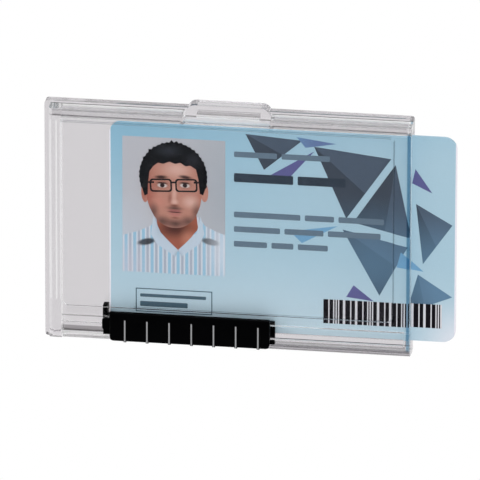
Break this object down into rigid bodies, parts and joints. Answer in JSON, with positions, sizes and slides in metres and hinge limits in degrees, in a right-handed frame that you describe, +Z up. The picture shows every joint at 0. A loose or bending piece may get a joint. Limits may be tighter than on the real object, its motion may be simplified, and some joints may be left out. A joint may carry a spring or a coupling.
{
  "type": "badge holder",
  "caption": "Clear rigid holder for an identity card, open at a short end, with a ribbed thumb slide that pushes the card out and a strap slot at the top.",
  "frame": {"origin": "centre of the strap slot at the top, where the holder hangs", "axes": "+X along the holder towards its open end, +Y towards its back, +Z up"},
  "size_m": [0.1019, 0.0085, 0.0636],
  "materials": {
    "rear_clear_plastic": "clear, faintly grey, moulded gloss",
    "front_clear_plastic": "clear, faintly grey, moulded gloss",
    "carriage_black_plastic": "black, fine satin",
    "grip_black_plastic": "black, fine satin, ribbed",
    "card_print": "printed plastic card in pale blue"
  },
  "bodies": {
    "shell": {"rear_shell": "rear_clear_plastic", "front_shell": "front_clear_plastic"},
    "slider": {"slider_carriage": "carriage_black_plastic", "thumb_grip": "grip_black_plastic"},
    "card": {"id_card": "card_print"}
  },
  "joints": [
    {"name": "slide_travel", "type": "slide", "parent": "shell", "child": "slider", "axis": [1, 0, 0], "range_m": [-0.0097, 0.0326]},
    {"name": "card_pull", "type": "slide", "parent": "slider", "child": "card", "axis": [1, 0, 0], "range_m": [0, 0.09]}
  ]
}
